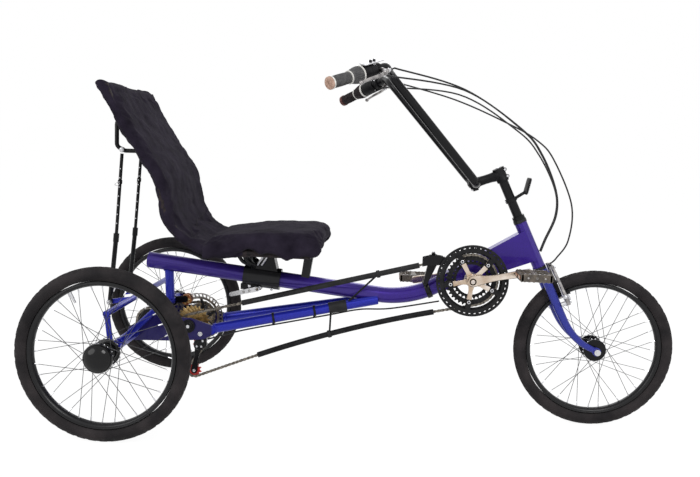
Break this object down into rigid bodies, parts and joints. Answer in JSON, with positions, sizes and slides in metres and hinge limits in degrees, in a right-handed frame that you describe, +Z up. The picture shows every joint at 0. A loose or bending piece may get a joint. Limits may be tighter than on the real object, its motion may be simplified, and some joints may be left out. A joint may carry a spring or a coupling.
{
  "type": "recumbent trike",
  "caption": "Delta recumbent trike with one steered front wheel, two rear wheels, long handlebar, sling seat and chain drive to the left rear wheel.",
  "frame": {"origin": "on the ground, midway along the wheelbase and on the middle plane", "axes": "+X forward, +Y to the rider's left, +Z up"},
  "size_m": [1.91, 0.82, 1.0743],
  "materials": {
    "frame_paint": "metallic violet-blue gloss",
    "black_paint": "gloss black",
    "black_plastic": "satin black",
    "cable_black": "cable housing",
    "seat_fabric": "charcoal woven cover",
    "steel": "bright steel",
    "chain_steel": "oiled steel",
    "cog_gold": "gold tone",
    "alloy": "polished",
    "ring_black": "black anodised",
    "pulley_red": "red",
    "pedal_resin": "brown grey",
    "grip_rubber": "ribbed",
    "tyre": "block tread",
    "spoke_steel": "bright"
  },
  "bodies": {
    "frame": {"main_tube": "frame_paint", "boom": "frame_paint", "rear_stays": "frame_paint", "rear_post": "frame_paint", "axle_frame": "frame_paint", "headset": "black_paint", "bottom_bracket": "steel", "seat_clamp": "black_paint", "clamp_lever": "steel", "seat_front_post": "black_paint", "seat_rails": "black_paint", "seat_cross_tubes": "black_paint", "seat_bracket": "black_paint", "seat_struts": "black_paint", "seat_cushion": "seat_fabric", "seat_sling": "seat_fabric", "rear_derailleur": "black_plastic", "jockey_wheels": "pulley_red", "front_derailleur": "black_plastic", "brake_caliper": "black_paint", "chain": "chain_steel", "chain_tubes": "black_plastic", "tube_hangers": "black_plastic", "final_chain": "chain_steel", "rear_cable": "cable_black"},
    "jackshaft": {"jackshaft": "steel", "cassette": "cog_gold", "brake_rotor": "steel"},
    "cranks": {"crankset": "alloy", "chainrings": "ring_black"},
    "right_pedal": {"right_pedal": "pedal_resin"},
    "left_pedal": {"left_pedal": "pedal_resin"},
    "steering": {"fork": "frame_paint", "riser": "black_paint", "stem": "black_paint", "handlebar": "black_paint", "right_grip": "grip_rubber", "left_grip": "grip_rubber", "right_lever": "alloy", "left_lever": "alloy", "front_brake": "black_paint", "reflector": "black_plastic", "front_brake_cable": "cable_black", "control_cables": "cable_black", "front_axle": "steel"},
    "front_wheel": {"front_tyre": "tyre", "front_rim": "ring_black", "front_spokes": "spoke_steel", "front_hub": "ring_black"},
    "right_wheel": {"right_tyre": "tyre", "right_rim": "ring_black", "right_spokes": "spoke_steel", "right_hub": "ring_black"},
    "left_wheel": {"left_tyre": "tyre", "left_rim": "ring_black", "left_spokes": "spoke_steel", "left_hub": "ring_black"}
  },
  "joints": [
    {"name": "steering_turn", "type": "hinge", "parent": "frame", "child": "steering", "pos_m": [0.66057, 0, 0.22089], "axis": [-0.4384, 0, 0.8988], "range_deg": [-35, 35]},
    {"name": "front_wheel_spin", "type": "hinge", "parent": "steering", "child": "front_wheel", "pos_m": [0.71, 0, 0.245], "axis": [0, 1, 0], "continuous": true},
    {"name": "right_wheel_spin", "type": "hinge", "parent": "frame", "child": "right_wheel", "pos_m": [-0.71, -0.35, 0.245], "axis": [0, 1, 0], "continuous": true},
    {"name": "left_wheel_spin", "type": "hinge", "parent": "frame", "child": "left_wheel", "pos_m": [-0.71, 0.35, 0.245], "axis": [0, 1, 0], "continuous": true},
    {"name": "jackshaft_spin", "type": "hinge", "parent": "frame", "child": "jackshaft", "pos_m": [-0.542, 0, 0.274], "axis": [0, 1, 0], "continuous": true},
    {"name": "crank_spin", "type": "hinge", "parent": "frame", "child": "cranks", "pos_m": [0.315, 0, 0.453], "axis": [0, 1, 0], "continuous": true},
    {"name": "right_pedal_spin", "type": "hinge", "parent": "cranks", "child": "right_pedal", "pos_m": [0.48129, -0.158, 0.48834], "axis": [0, 1, 0], "continuous": true},
    {"name": "left_pedal_spin", "type": "hinge", "parent": "cranks", "child": "left_pedal", "pos_m": [0.14872, 0.158, 0.41765], "axis": [0, 1, 0], "continuous": true}
  ],
  "couplings": [
    {"joint": "jackshaft_spin", "follows": "left_wheel_spin", "ratio": 1}
  ]
}
